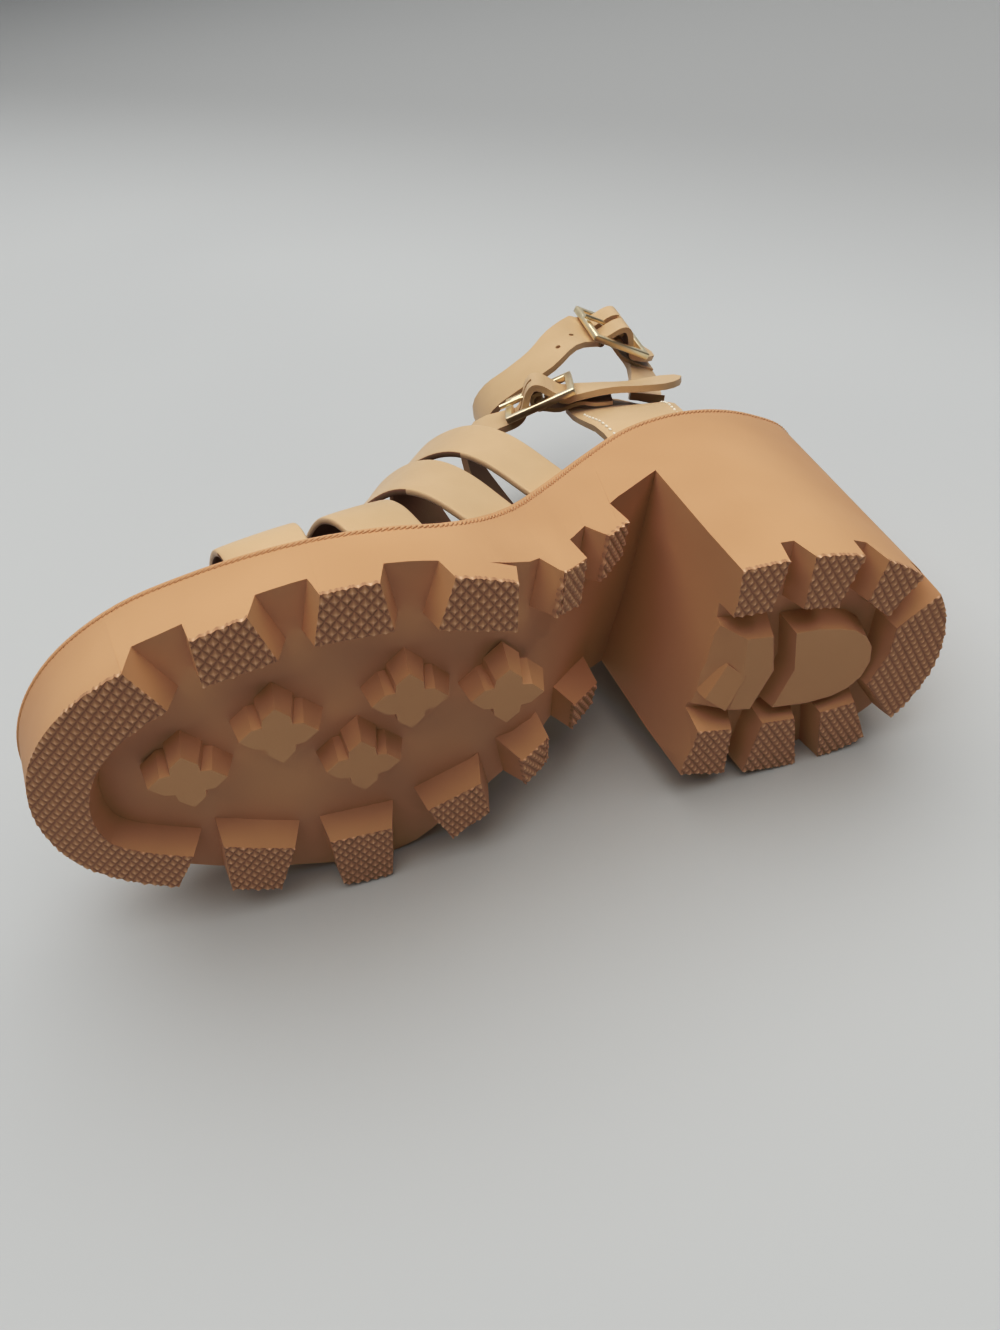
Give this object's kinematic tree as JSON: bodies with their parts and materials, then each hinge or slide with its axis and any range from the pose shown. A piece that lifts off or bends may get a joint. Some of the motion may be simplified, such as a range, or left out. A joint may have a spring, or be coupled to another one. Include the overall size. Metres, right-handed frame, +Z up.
{
  "type": "platform wedge sandal",
  "caption": "Strappy sandal on a thick lugged platform sole with a block heel, with straps over the forefoot and instep, a heel quarter and buckled ankle straps, lying on its inner side.",
  "frame": {"origin": "centre of the bottom of the bounding box, on the floor that the sandal lies on", "axes": "-X towards the toe, -Y out of the tread of the sole, +Z up from the floor, out of the sandal's outer side"},
  "size_m": [0.2336, 0.1703, 0.098],
  "materials": {
    "sole_rubber": "matte moulded",
    "insole_lining": "matte lining",
    "strap_leather": "smooth, low sheen",
    "buckle_brass": "polished pale gold"
  },
  "bodies": {
    "root": {"sole_unit": "sole_rubber", "insole": "insole_lining", "toe_strap": "strap_leather", "ball_strap": "strap_leather", "midfoot_strap": "strap_leather", "instep_strap": "strap_leather", "heel_quarter": "strap_leather", "ankle_strap": "strap_leather", "lower_ankle_strap": "strap_leather", "lower_buckle_tab": "strap_leather", "upper_buckle_tab": "strap_leather", "lower_buckle_frame": "buckle_brass", "lower_buckle_prong": "buckle_brass", "upper_buckle_frame": "buckle_brass", "upper_buckle_prong": "buckle_brass"}
  },
  "joints": []
}
